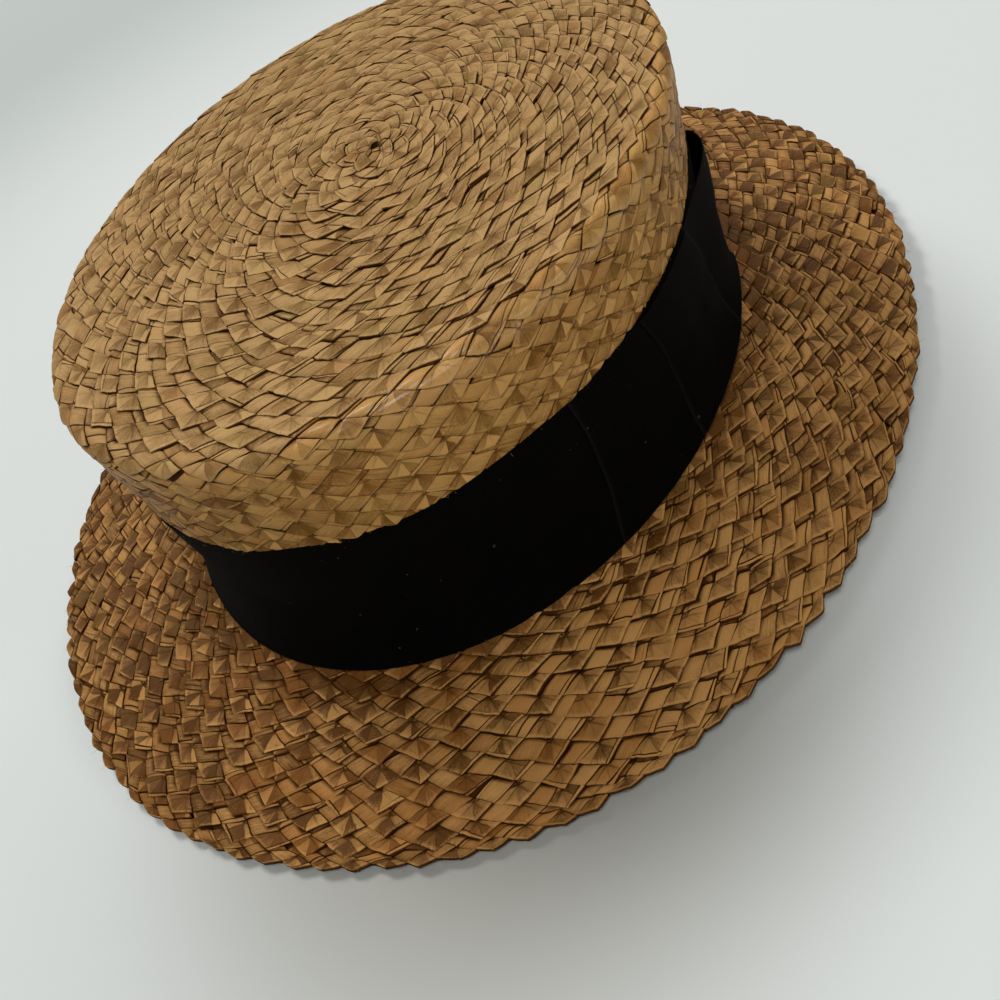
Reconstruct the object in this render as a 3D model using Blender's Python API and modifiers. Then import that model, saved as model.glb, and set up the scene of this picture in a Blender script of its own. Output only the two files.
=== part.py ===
"""Straw boater hat: a sewn straw crown and brim with a black ribbon and its flat side bow.

Metres, +Z up. The origin is on the surface that the hat stands on, under the middle of the hat.
The hat's length runs along Y, its front is at -Y, and the bow is on its left side, at +X.
"""

import math

import bmesh
import bpy

# Driving sizes of the head oval, measured outside the straw where the side crown is narrowest.
HEAD_HALF_LENGTH = 0.1020
HEAD_HALF_WIDTH = 0.0834
BACK_FULLNESS = 0.043  # share by which the oval is wider towards the back
OVAL_SQUARENESS = 2.03  # 2 is an ellipse
HEAD_SET_BACK = 0.0021  # the head oval's middle lies this far behind the brim's

# The brim's outer edge.
BRIM_HALF_LENGTH = 0.1603
BRIM_HALF_WIDTH = 0.1412
BRIM_SQUARENESS = 2.11
BRIM_BACK_FULLNESS = 0.015
BRIM_LIFT = 0.0048  # underside of the brim above the table, where it meets the crown
BRIM_FLAT_START = 0.84  # share of the brim's width where its outer rows turn level
BRIM_REST_WIDTH = 0.30  # share of the half width that lies flat on the table, front and back

STRAW = 0.0024  # two overlapping rows of plait
CROWN_HEIGHT = 0.0811  # from the top of the brim to the top of the crown
CROWN_LEAN = 0.0071  # how much wider the crown is at its top, on each side
FOOT_RADIUS = 0.0152  # the side crown turns out into the brim round this radius
SHOULDER_RADIUS = 0.0034
SHOULDER_DROP = 0.0045  # the tip's turned-down edge

RIBBON_WIDTH = 0.0504
RIBBON_THICKNESS = 0.0010
RIBBON_FOOT = 0.0072  # along the wall from the brim to the ribbon's lower edge
BOW_MIDDLE = 2.0  # degrees round from +X towards the back
BOW_HALF_SPREAD = 43.0
KNOT_HALF_SPREAD_TOP = 26.0
KNOT_HALF_SPREAD_FOOT = 13.5
BOW_PUFF = 0.0012
BOW_PINCH = 0.0011
PINCH_WIDTH = 0.22  # of the knot's half spread

GAP = 0.0003  # between pieces that touch
FOLD_GAP = 0.0005  # between one fold of ribbon and the next
SEGMENTS = 72
TIP_RINGS = (0.25, 0.5, 0.75)  # shares of the way from the middle of the tip to its shoulder
SHOULDER_BENDS = (0, 30, 60, 90)
FOOT_SHARES = (1, 0.8, 0.6, 0.4, 0.2, 0)  # rings round the foot's bend
BRIM_SHARES = (0.2, 0.4, 0.6, BRIM_FLAT_START, 0.92, 1)  # rings across the brim, from its foot
UPPER_RIBBON_BENDS = (0.046, 0.034)  # stations above the foot at which the ribbon and the bow may bend

BRIM_TOP = BRIM_LIFT + STRAW
CROWN_TOP = BRIM_TOP + CROWN_HEIGHT
FOOT_LENGTH = FOOT_RADIUS * math.pi / 2
SIDE_LENGTH = FOOT_LENGTH + CROWN_HEIGHT - SHOULDER_DROP - FOOT_RADIUS

# Each finish: base colour (linear), roughness, metallic.
FINISHES = {
    "straw_crown": ((0.46, 0.29, 0.12), 0.55, 0.0),
    "straw_brim": ((0.34, 0.20, 0.08), 0.60, 0.0),
    "ribbon": ((0.006, 0.006, 0.006), 0.85, 0.0),
}


def signed_power(value, power):
    return math.copysign(abs(value) ** power, value)


def oval_point(turn, half_length, half_width, squareness, fullness):
    """A point of an egg-shaped oval at this turn in radians: 0 is +X, a quarter turn is the back."""
    across = half_width * signed_power(math.cos(turn), 2 / squareness)
    along = half_length * signed_power(math.sin(turn), 2 / squareness)
    return across * (1 + fullness * math.sin(turn)), along


def head_point(turn, grow):
    """A point of the head oval with both half axes grown by this much."""
    half_axes = HEAD_HALF_LENGTH + grow, HEAD_HALF_WIDTH + grow
    x, y = oval_point(turn, *half_axes, OVAL_SQUARENESS, BACK_FULLNESS)
    return x, y + HEAD_SET_BACK


def wall(station, lift=0.0):
    """The side crown's outer face at this distance along it from the brim: its growth from the head oval
    and its height above the brim, moved out by lift along the wall's normal."""
    turn_out = max(0.0, FOOT_LENGTH - station) / FOOT_RADIUS
    height = max(0.0, station - FOOT_LENGTH) + FOOT_RADIUS * (1 - math.sin(turn_out))
    grow = FOOT_RADIUS * (1 - math.cos(turn_out)) + CROWN_LEAN * height / CROWN_HEIGHT
    return grow + lift * math.cos(turn_out), height + lift * math.sin(turn_out)


def full_turn():
    return [2 * math.pi * step / SEGMENTS for step in range(SEGMENTS)]


def head_ring(grow, height):
    """A ring round the hat: the head oval with this growth, at this height above the top of the brim."""
    return [(*head_point(turn, grow), BRIM_TOP + height) for turn in full_turn()]


def wall_ring(station, lift=0.0):
    return head_ring(*wall(station, lift))


def brim_edge_height(turn):
    """Height of the brim's underside at its edge: level at the sides, down on the table front and back."""
    side = (abs(math.cos(turn)) - BRIM_REST_WIDTH) / (1 - BRIM_REST_WIDTH)
    return BRIM_LIFT * max(0.0, side) ** 1.5


def brim_ring(share):
    """The top of the brim at this share of its width, from the foot's bend to the edge."""
    ring = []
    bend = min(1.0, share / BRIM_FLAT_START)
    droop = bend * bend * (3 - 2 * bend)
    for turn in full_turn():
        inner = head_point(turn, wall(0)[0])
        outer = oval_point(turn, BRIM_HALF_LENGTH, BRIM_HALF_WIDTH, BRIM_SQUARENESS, BRIM_BACK_FULLNESS)
        x, y = (a + (b - a) * share for a, b in zip(inner, outer))
        ring.append((x, y, BRIM_TOP + (brim_edge_height(turn) - BRIM_LIFT) * droop))
    return ring


def loft(name, rings, closed=True, pole=None):
    """An open surface through rings of equally many points, listed so that its faces look outwards."""
    mesh = bpy.data.meshes.new(name)
    work = bmesh.new()
    rows = [[work.verts.new(point) for point in ring] for ring in rings]
    count = len(rows[0])
    for upper, lower in zip(rows, rows[1:]):
        for step in range(count if closed else count - 1):
            following = (step + 1) % count
            work.faces.new((upper[step], lower[step], lower[following], upper[following]))
    if pole is not None:
        top = work.verts.new(pole)
        for step in range(count):
            work.faces.new((top, rows[0][step], rows[0][(step + 1) % count]))
    work.to_mesh(mesh)
    work.free()
    mesh.shade_smooth()
    mesh.set_sharp_from_angle(angle=math.radians(40))
    return mesh


def material(name):
    colour, roughness, metallic = FINISHES[name]
    finish = bpy.data.materials.new(name)
    finish.use_nodes = True
    shader = finish.node_tree.nodes["Principled BSDF"]
    shader.inputs["Base Color"].default_value = (*colour, 1)
    shader.inputs["Roughness"].default_value = roughness
    shader.inputs["Metallic"].default_value = metallic
    finish.diffuse_color = (*colour, 1)
    return finish


def add_wall(collection, parent, mesh, finish, thickness, side):
    """Puts the surface in the hat as a wall of this thickness, on its outer (1) or inner (-1) side."""
    wall = bpy.data.objects.new(mesh.name, mesh)
    collection.objects.link(wall)
    wall.parent = parent
    mesh.materials.append(finish)
    solid = wall.modifiers.new("Thickness", "SOLIDIFY")
    solid.thickness = thickness
    solid.offset = side
    solid.use_even_offset = True
    return wall


def crown_tip():
    """The top of the crown with its rounded shoulder and turned-down edge."""
    foot_grow, foot_height = wall(SIDE_LENGTH)
    flat_edge = wall(SIDE_LENGTH + SHOULDER_DROP)[0] - SHOULDER_RADIUS
    rings = []
    for share in TIP_RINGS:
        inward = (HEAD_HALF_WIDTH + flat_edge) * (1 - share)
        rings.append(head_ring(flat_edge - inward, CROWN_HEIGHT))
    for bend in SHOULDER_BENDS:
        angle = math.radians(bend)
        drop = SHOULDER_RADIUS * (1 - math.cos(angle))
        rings.append(head_ring(flat_edge + SHOULDER_RADIUS * math.sin(angle), CROWN_HEIGHT - drop))
    rings.append(head_ring(foot_grow, foot_height))
    return loft("crown_tip", rings, pole=(0, HEAD_SET_BACK, CROWN_TOP))


def crown_side():
    """The upright side of the crown, from the tip's edge down to the foot's bend."""
    top, foot = SIDE_LENGTH - GAP, FOOT_LENGTH + GAP
    return loft("crown_side", [wall_ring(station) for station in (top, (top + foot) / 2, foot)])


def brim():
    """The brim, from the join under the ribbon round the foot's bend and out to the edge."""
    rings = [wall_ring(FOOT_LENGTH * share) for share in FOOT_SHARES]
    rings += [brim_ring(share) for share in BRIM_SHARES]
    return loft("brim", rings)


def ribbon_stations():
    """Distances along the wall at which the ribbon and the bow follow it, from their upper edge down."""
    foot = [FOOT_LENGTH * share for share in FOOT_SHARES if FOOT_LENGTH * share > RIBBON_FOOT]
    return [RIBBON_FOOT + RIBBON_WIDTH, *UPPER_RIBBON_BENDS, *foot, RIBBON_FOOT]


def ribbon_band():
    return loft("ribbon_band", [wall_ring(station, GAP) for station in ribbon_stations()])


def bow_piece(name, lift, spread_top, spread_foot, steps, puff, pinch):
    """A flat fold of ribbon over the band. It bulges by puff and is drawn in by pinch at its middle."""
    rings = []
    for station in ribbon_stations():
        share = (station - RIBBON_FOOT) / RIBBON_WIDTH
        rise = math.sin(math.pi * share)
        spread = spread_foot + (spread_top - spread_foot) * share
        ring = []
        for step in range(steps + 1):
            across = 2 * step / steps - 1
            belly = puff * (1 - across**4) * rise
            middle = pinch * math.exp(-((across / PINCH_WIDTH) ** 2)) * rise
            grow, height = wall(station, lift + belly - middle)
            turn = math.radians(BOW_MIDDLE + across * spread)
            ring.append((*head_point(turn, grow), BRIM_TOP + height))
        rings.append(ring)
    return loft(name, rings, closed=False)


def remove_startup_objects():
    for thing in list(bpy.data.objects):
        bpy.data.objects.remove(thing, do_unlink=True)


def build_hat():
    hat = bpy.data.collections.new("straw_boater_hat")
    bpy.context.scene.collection.children.link(hat)
    stand = bpy.data.objects.new("hat_origin", None)
    hat.objects.link(stand)
    finish = {name: material(name) for name in FINISHES}
    add_wall(hat, stand, crown_tip(), finish["straw_crown"], STRAW, -1)
    add_wall(hat, stand, crown_side(), finish["straw_crown"], STRAW, -1)
    add_wall(hat, stand, brim(), finish["straw_brim"], STRAW, -1)
    add_wall(hat, stand, ribbon_band(), finish["ribbon"], RIBBON_THICKNESS, 1)
    loop_lift = GAP + RIBBON_THICKNESS + FOLD_GAP
    loops = bow_piece("bow_loops", loop_lift, BOW_HALF_SPREAD, BOW_HALF_SPREAD, 24, BOW_PUFF, 0)
    add_wall(hat, stand, loops, finish["ribbon"], RIBBON_THICKNESS, 1)
    knot_lift = loop_lift + RIBBON_THICKNESS + FOLD_GAP + BOW_PUFF
    knot = bow_piece("bow_knot", knot_lift, KNOT_HALF_SPREAD_TOP, KNOT_HALF_SPREAD_FOOT, 14, BOW_PUFF, BOW_PINCH)
    add_wall(hat, stand, knot, finish["ribbon"], RIBBON_THICKNESS, 1)


remove_startup_objects()
build_hat()
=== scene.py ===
"""A straw boater hat: plaited straw crown and brim, black ribbon and flat side bow, on a pale floor.

Metres, +Z up. The hat's front is at -Y and its bow is on its left side, at +X. A place on the straw is
given by its turn round the hat (0 is +X, a quarter turn is the back) and its reach, the distance walked
over the straw from the middle of the tip: across the tip, over the shoulder, down the side, round the
foot's bend and out over the brim.
"""

import math

import bpy
import numpy as np
from mathutils import Matrix, Vector


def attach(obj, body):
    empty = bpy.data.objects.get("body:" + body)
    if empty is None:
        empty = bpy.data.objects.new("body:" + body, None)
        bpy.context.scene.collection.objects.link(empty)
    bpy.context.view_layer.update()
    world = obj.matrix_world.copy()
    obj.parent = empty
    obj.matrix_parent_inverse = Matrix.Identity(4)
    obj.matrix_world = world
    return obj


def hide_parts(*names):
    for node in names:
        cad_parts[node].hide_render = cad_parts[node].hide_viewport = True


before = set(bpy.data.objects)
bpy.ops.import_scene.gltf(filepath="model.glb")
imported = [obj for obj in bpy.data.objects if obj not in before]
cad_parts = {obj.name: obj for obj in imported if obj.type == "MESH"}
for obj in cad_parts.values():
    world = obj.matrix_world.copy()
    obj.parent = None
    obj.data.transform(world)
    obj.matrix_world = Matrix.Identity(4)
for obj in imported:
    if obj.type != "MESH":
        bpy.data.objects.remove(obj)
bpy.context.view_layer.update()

MM = 0.001

# The hat's sizes, as the fixed model has them.
HEAD_HALF_LENGTH = 0.1020
HEAD_HALF_WIDTH = 0.0834
BACK_FULLNESS = 0.043
OVAL_SQUARENESS = 2.03
HEAD_SET_BACK = 0.0021
BRIM_HALF_LENGTH = 0.1603
BRIM_HALF_WIDTH = 0.1412
BRIM_SQUARENESS = 2.11
BRIM_BACK_FULLNESS = 0.015
BRIM_LIFT = 0.0048
BRIM_FLAT_START = 0.84
BRIM_REST_WIDTH = 0.30
STRAW = 0.0024
CROWN_HEIGHT = 0.0811
CROWN_LEAN = 0.0071
FOOT_RADIUS = 0.0152
SHOULDER_RADIUS = 0.0034
RIBBON_WIDTH = 0.0504
RIBBON_FOOT = 0.0072
BRIM_TOP = BRIM_LIFT + STRAW
SHOULDER_HEIGHT = BRIM_TOP + CROWN_HEIGHT - SHOULDER_RADIUS / 2
TIP_HALF_LENGTH = HEAD_HALF_LENGTH + CROWN_LEAN
TIP_HALF_WIDTH = HEAD_HALF_WIDTH + CROWN_LEAN
FOOT_LENGTH = FOOT_RADIUS * math.pi / 2

# Reaches at which one part of the straw ends and the next begins.
TIP_REACH = 0.0995
SHOULDER_REACH = TIP_REACH + SHOULDER_RADIUS * math.pi / 2
WALL_LENGTH = FOOT_LENGTH + CROWN_HEIGHT - SHOULDER_RADIUS - FOOT_RADIUS
BRIM_START = SHOULDER_REACH + WALL_LENGTH
BRIM_WIDTH = 0.0420
BRIM_EDGE = BRIM_START + BRIM_WIDTH
RIBBON_TOP_REACH = BRIM_START - RIBBON_FOOT - RIBBON_WIDTH
RIBBON_FOOT_REACH = BRIM_START - RIBBON_FOOT

# The sewing starts a little off the tip's middle.
TIP_CORE = (0.0056, 0.0095)

TAU = 2 * math.pi
chance = np.random.default_rng(1897)


def signed_power(value, power):
    return np.sign(value) * np.abs(value) ** power


def oval(turn, half_length, half_width, squareness, fullness):
    sine = np.sin(turn)
    across = half_width * signed_power(np.cos(turn), 2 / squareness) * (1 + fullness * sine)
    return across, half_length * signed_power(sine, 2 / squareness)


def head_oval(turn, grow):
    x, y = oval(turn, HEAD_HALF_LENGTH + grow, HEAD_HALF_WIDTH + grow, OVAL_SQUARENESS, BACK_FULLNESS)
    return x, y + HEAD_SET_BACK


def wall_profile(station):
    """Growth and height of the side crown at this distance up it from the brim."""
    turn_out = np.maximum(0, FOOT_LENGTH - station) / FOOT_RADIUS
    height = np.maximum(0, station - FOOT_LENGTH) + FOOT_RADIUS * (1 - np.sin(turn_out))
    return FOOT_RADIUS * (1 - np.cos(turn_out)) + CROWN_LEAN * height / CROWN_HEIGHT, height


def straw_face(turn, reach):
    """The outer face of the straw, without its relief."""
    turn, reach = np.broadcast_arrays(np.asarray(turn, float), np.asarray(reach, float))
    shoulder_height = CROWN_HEIGHT - SHOULDER_RADIUS
    tip_grow = CROWN_LEAN * shoulder_height / CROWN_HEIGHT - SHOULDER_RADIUS
    share = np.clip(reach / TIP_REACH, 0, 1)
    bend = np.clip((reach - TIP_REACH) / SHOULDER_RADIUS, 0, math.pi / 2)
    wall_grow, wall_height = wall_profile(BRIM_START - np.clip(reach, SHOULDER_REACH, BRIM_START))
    on_wall = reach > SHOULDER_REACH
    grow = np.where(on_wall, wall_grow, tip_grow + SHOULDER_RADIUS * np.sin(bend))
    height = np.where(on_wall, wall_height, shoulder_height + SHOULDER_RADIUS * np.cos(bend))
    x, y = head_oval(turn, grow)
    core_x, core_y = TIP_CORE[0], TIP_CORE[1] + HEAD_SET_BACK
    x = core_x + (x - core_x) * share
    y = core_y + (y - core_y) * share
    out = (reach - BRIM_START) / BRIM_WIDTH
    on_brim = out > 0
    edge_x, edge_y = oval(turn, BRIM_HALF_LENGTH, BRIM_HALF_WIDTH, BRIM_SQUARENESS, BRIM_BACK_FULLNESS)
    bend_share = np.clip(out / BRIM_FLAT_START, 0, 1)
    droop = bend_share * bend_share * (3 - 2 * bend_share)
    side = np.maximum(0, (np.abs(np.cos(turn)) - BRIM_REST_WIDTH) / (1 - BRIM_REST_WIDTH))
    edge_drop = BRIM_LIFT * side**1.5 - BRIM_LIFT
    x = np.where(on_brim, x + (edge_x - x) * out, x)
    y = np.where(on_brim, y + (edge_y - y) * out, y)
    height = np.where(on_brim, edge_drop * droop, height)
    return np.stack([x, y, BRIM_TOP + height], -1)


def straw_normal(turn, reach):
    small_turn, small_reach = 1e-4, 5e-5
    reach = np.maximum(reach, 0.001)
    round_hat = straw_face(turn + small_turn, reach) - straw_face(turn - small_turn, reach)
    down_hat = straw_face(turn, reach + small_reach) - straw_face(turn, reach - small_reach)
    normal = np.cross(down_hat, round_hat)
    return normal / np.linalg.norm(normal, axis=-1, keepdims=True)


def waviness(turn, reach):
    """Slow rise and fall of hand-sewn straw, in metres."""
    slow = np.sin(3 * turn + 1.0 + 22 * reach) + 0.7 * np.sin(5 * turn - 40 * reach + 2.0)
    quick = 0.5 * np.sin(9 * turn + 90 * reach) + 0.4 * np.sin(14 * turn - 130 * reach + 0.7)
    calm = np.clip(reach / 0.03, 0, 1) * np.where(reach > BRIM_START, 0.6, 1.0)
    return 0.13 * MM * calm * (slow + quick)


def warped(turn, reach):
    """The same places pushed a little out of line, as hand plaiting leaves them."""
    calm = np.clip(reach / 0.05, 0, 1) * 0.08 * MM
    down = np.sin(97 * turn + 700 * reach) + 0.6 * np.sin(61 * turn - 1300 * reach + 1)
    down = down + 0.5 * np.sin(211 * turn + 2100 * reach + 2)
    along = np.sin(83 * turn - 900 * reach + 0.5) + 0.6 * np.sin(171 * turn + 1700 * reach)
    return turn + along * calm / HEAD_HALF_LENGTH, reach + down * calm


def place(turn, reach, lift):
    """Points at this lift from the straw's face."""
    lift = np.asarray(lift) + waviness(turn, reach)
    turn, reach = warped(turn, reach)
    return straw_face(turn, reach) + straw_normal(turn, reach) * lift[..., None]


def new_mesh(name, points, quads, values=None, smooth=True):
    """A mesh object from arrays of points and four-cornered faces, with values stored at its points."""
    mesh = bpy.data.meshes.new(name)
    mesh.vertices.add(len(points))
    mesh.vertices.foreach_set("co", np.asarray(points, np.float32).ravel())
    mesh.loops.add(quads.size)
    mesh.loops.foreach_set("vertex_index", np.asarray(quads, np.int32).ravel())
    mesh.polygons.add(len(quads))
    mesh.polygons.foreach_set("loop_start", np.arange(0, quads.size, quads.shape[1], dtype=np.int32))
    mesh.update(calc_edges=True)
    mesh.validate()
    for key, value in (values or {}).items():
        attribute = mesh.attributes.new(key, "FLOAT_VECTOR", "POINT")
        attribute.data.foreach_set("vector", np.asarray(value, np.float32).ravel())
    mesh.polygons.foreach_set("use_smooth", np.full(len(mesh.polygons), smooth))
    thing = bpy.data.objects.new(name, mesh)
    bpy.context.scene.collection.objects.link(thing)
    return thing


class Rows:
    """The line of a plait's valleys: one long spiral or one closed ring, sampled at every half tooth.

    Even samples are under a tooth's point and odd ones at the valley between two teeth. The crossings of
    the plait lie on levels, from the teeth's points (level 0) inwards, each one tooth depth further in.
    """

    def __init__(self, turn, reach, closed, depth, jitter, levels=5, face=1):
        self.turn, self.reach, self.closed, self.depth, self.face = turn, reach, closed, depth, face
        count = len(turn)
        half_tooth = np.gradient(turn)
        self.turns, self.reaches = [], []
        for level in range(levels):
            self.turns.append(turn + half_tooth * chance.uniform(-0.15, 0.15, count) * jitter)
            self.reaches.append(reach + (1 - level) * depth * face + chance.uniform(-0.4, 0.4, count) * jitter * MM)

    def zigzag(self, turn):
        """Reach of the toothed edge of these rows at this turn."""
        counts, turns, reaches = np.arange(len(self.turn)), self.turn, self.reach
        if self.closed:
            turn = turns[0] + np.mod(turn - turns[0], TAU)
            counts = np.append(counts, len(counts))
            turns, reaches = np.append(turns, turns[0] + TAU), np.append(reaches, reaches[0])
        from_tooth = np.abs(np.mod(np.interp(turn, turns, counts) + 1, 2) - 1)
        return np.interp(turn, turns, reaches) + self.depth * self.face * (1 - from_tooth)

    def corners(self, level):
        """The left, bottom, right and top corners of every cell whose bottom lies on this level."""
        count = len(self.turn)
        first = level % 2 if self.closed else 2 + level % 2
        middle = np.arange(first, count if self.closed else count - 1, 2)
        left, right = middle - 1, middle + 1
        lap_left, lap_right = np.where(left < 0, -TAU, 0.0), np.where(right >= count, TAU, 0.0)
        left, right = np.mod(left, count), np.mod(right, count)
        lower, level_with, upper = level, level + 1, level + 2
        turn = np.stack([self.turns[level_with][left] + lap_left, self.turns[lower][middle],
                         self.turns[level_with][right] + lap_right, self.turns[upper][middle]], -1)
        reach = np.stack([self.reaches[level_with][left], self.reaches[lower][middle],
                          self.reaches[level_with][right], self.reaches[upper][middle]], -1)
        base = np.stack([self.reach[left], self.reach[middle], self.reach[right], self.reach[middle]], -1)
        return turn, reach, base


def spiral_rows(start, end, pitch, tooth, depth, **more):
    """A spiral from one reach to another; pitch and tooth give the row's and the tooth's width there."""
    step = math.radians(1)
    turns, reaches = [0.0], [start]
    while reaches[-1] < end:
        turns.append(turns[-1] + step)
        reaches.append(reaches[-1] + pitch(reaches[-1]) * step / TAU)
    turns, reaches = np.array(turns), np.array(reaches)
    wobble = 0.28 * MM * (np.sin(turns * 2.3) + np.sin(turns * 3.7 + 1) + 0.8 * np.sin(turns * 7.1))
    reaches = reaches + wobble * np.clip(turns / 12, 0, 1)
    points = straw_face(turns, reaches)
    walked = np.linalg.norm(np.diff(points, axis=0), axis=1)
    teeth = np.array([tooth(reach) for reach in reaches[1:]])
    stretch = 1 + 0.02 * np.sin(turns[1:] * 0.23) + 0.05 * np.sin(turns[1:] * 3.0 + 2)
    count = np.concatenate([[0], np.cumsum(walked / (teeth * stretch))]) * 2
    halves = np.arange(int(count[-1]))
    return Rows(np.interp(halves, count, turns), np.interp(halves, count, reaches), False, depth, 1.0, **more)


# The turn at which the teeth of all the brim's rows point the same way, as sewn in the photo.
IN_STEP_TURN = math.radians(-70)


def ring_rows(reach, tooth, depth, jitter, **more):
    """A closed ring at this reach, with a whole number of teeth."""
    turns = np.linspace(0, TAU, 721)
    wobble = 0.25 * MM * (np.sin(3 * turns + 900 * reach) + 0.7 * np.sin(7 * turns + 500 * reach))
    points = straw_face(turns, reach + wobble)
    walked = np.concatenate([[0], np.cumsum(np.linalg.norm(np.diff(points, axis=0), axis=1))])
    count = 2 * round(walked[-1] / tooth)
    in_step = np.interp(IN_STEP_TURN % TAU, turns, walked) * count / walked[-1]
    halves = (np.arange(count) + (in_step + chance.uniform(-0.15, 0.15)) % 2) * walked[-1] / count
    turn = np.interp(np.mod(halves, walked[-1]), walked, turns) + TAU * (halves >= walked[-1])
    return Rows(turn, reach + np.interp(np.mod(turn, TAU), turns, wobble), True, depth, jitter, **more)


def cell_grid(down_marks, across_marks):
    """Shares across a cell in both directions, its quads, and its border in order."""
    down, across = np.meshgrid(down_marks, across_marks, indexing="ij")
    number = np.arange(down.size).reshape(down.shape)
    quads = np.stack([number[:-1, :-1], number[:-1, 1:], number[1:, 1:], number[1:, :-1]], -1).reshape(-1, 4)
    border = np.concatenate([number[:-1, 0], number[-1, :-1], number[:0:-1, -1], number[0, :0:-1]])
    return down.ravel(), across.ravel(), quads, border


FINE = (0, 0.05, 0.20, 0.40, 0.60, 0.80, 0.95, 1)
MEDIUM = (0, 0.06, 0.27, 0.5, 0.73, 0.94, 1)
COARSE = (0, 0.12, 0.5, 0.88, 1)
PLAIN = (0, 0.5, 1)
STRIP = (0, 0.3, 0.7, 1)
WIDE_STRIP = (0, 0.14, 0.5, 0.86, 1)


def marks_for(width, marks):
    """The grid marks for a part of a cell with this share of its width."""
    if len(marks) <= len(PLAIN) or width > 0.7:
        return marks
    return STRIP if width < 0.3 else WIDE_STRIP


class Plait:
    """Collects the cells of one plaited piece and turns them into a mesh."""

    def __init__(self):
        self.points, self.quads, self.grain, self.tone, self.fold = [], [], [], [], []
        self.count = 0

    def add(self, points, quads, grain, tone, fold):
        cells, per_cell = points.shape[:2]
        offsets = self.count + np.arange(cells)[:, None, None] * per_cell
        self.quads.append((quads[None] + offsets).reshape(-1, 4))
        for store, values in ((self.points, points), (self.grain, grain), (self.tone, tone), (self.fold, fold)):
            store.append(values.reshape(-1, 3))
        self.count += cells * per_cell

    def build(self, name):
        values = {"grain": np.concatenate(self.grain), "tone": np.concatenate(self.tone),
                  "fold": np.concatenate(self.fold)}
        return new_mesh(name, np.concatenate(self.points), np.concatenate(self.quads), values)


# A plait's style. Lengths are in millimetres and slope is the rise from one row's inner to its outer edge. Seam, shade
# and under set the painted shade in the seams and beside the row above.
TIP_STYLE = dict(slope=0.030, lift=0.12, gap=0.010, wall=0.72, seam=0.85, shade=0.23, dip=0.58,
                 puff=0.36, well=0.35, tilt=0.36, rim=0.10, crease=0.75, lean=0.80, odds=0.0, under=0.9)
SIDE_STYLE = dict(slope=0.010, lift=0.10, gap=0.004, wall=0.5, seam=0.50, shade=0.18, dip=0.55,
                  puff=0.18, well=0.20, tilt=0.30, rim=0.12, crease=1.0, lean=0.5, odds=0.0, under=0.62)
BRIM_STYLE = dict(slope=0.035, lift=0.12, gap=0.010, wall=0.90, seam=1.05, shade=0.32, dip=0.62,
                  puff=0.42, well=0.48, tilt=0.42, rim=0.24, crease=1.0, lean=0.90, odds=0.35, under=1.0)

# How a cell is split into straws: the chance of each way, then its parts as shares down and across.
WHOLE = ((0, 1, 0, 1),)
TOOTH_SPLITS = ((0.64, WHOLE), (0.24, ((0, 0.86, 0, 1), (0.86, 1, 0, 1))), (0.12, ((0, 1, 0.14, 1), (0, 1, 0, 0.14))))
PILLOW_SPLITS = ((0.34, WHOLE), (0.34, ((0, 0.80, 0, 1), (0.80, 1, 0, 1))), (0.22, ((0.20, 1, 0, 1), (0, 0.20, 0, 1))),
                 (0.10, ((0, 0.56, 0, 1), (0.56, 1, 0, 1))))

# What is drawn anew for each cell, and the ends of its range.
DICE = dict(lift=(-0.10, 0.10), tilt_down=(-1, 1), tilt_across=(-1, 1), puff=(0.45, 1.25), ridge=(-1, 1),
            hub=(-0.85, -0.55), seed=(0, 40), bright=(-1, 1), hue=(-1, 1), gap=(0.3, 1.7), pick=(0, 1), lean=(0, 1),
            cut=(-1, 1), slant=(-1, 1))


def style_between(first, second, share):
    """One column of every style value, with a line for each cell."""
    return {word: first[word] + (second[word] - first[word]) * share[:, None] for word in first}


# Painted light on the brim: its middle turn and spread, one towards the front and one by the bow.
PAINTED_LIGHT_TURN = math.radians(-50)
PAINTED_LIGHT_SPREAD = math.radians(24)
BOW_SIDE_LIGHT_TURN = math.radians(-5)
BOW_SIDE_LIGHT_SPREAD = math.radians(22)
RUDDIEST_TURN = math.radians(-80)
RUDDY_SPREAD = math.radians(40)


def tooth_shape(down, across, style, dice):
    """Relief in millimetres of a tooth, where the straws fold over: a star of creases round a low hub."""
    sideways, ahead = down + across - 1, down - across
    away = np.clip(np.abs(sideways) + np.abs(ahead - dice["hub"]), 0, 1)
    relief = style["well"] * dice["puff"] * (away - 0.8)
    relief = relief + style["puff"] * 0.55 * dice["puff"] * (1 - sideways**2) * (1 - ahead**2)
    relief = relief + style["tilt"] * dice["ridge"] * (0.5 - np.abs(sideways)) * (1 - 0.5 * np.abs(ahead))
    lower_rim = np.minimum(1 - down, across)
    folded_edge = np.exp(-(((lower_rim - 0.07) / 0.06) ** 2))
    return relief + style["rim"] * folded_edge, folded_edge


def pillow_shape(along, over, style, dice):
    """Relief in millimetres of a straw that passes over the others and dips under them at both ends."""
    length = 1 - np.abs(2 * along - 1) ** 2.6
    width = 1 - 0.5 * np.abs(2 * over - 1) ** 2.4
    return style["puff"] * dice["puff"] * (length * width * 1.25 - 0.35)


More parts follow.
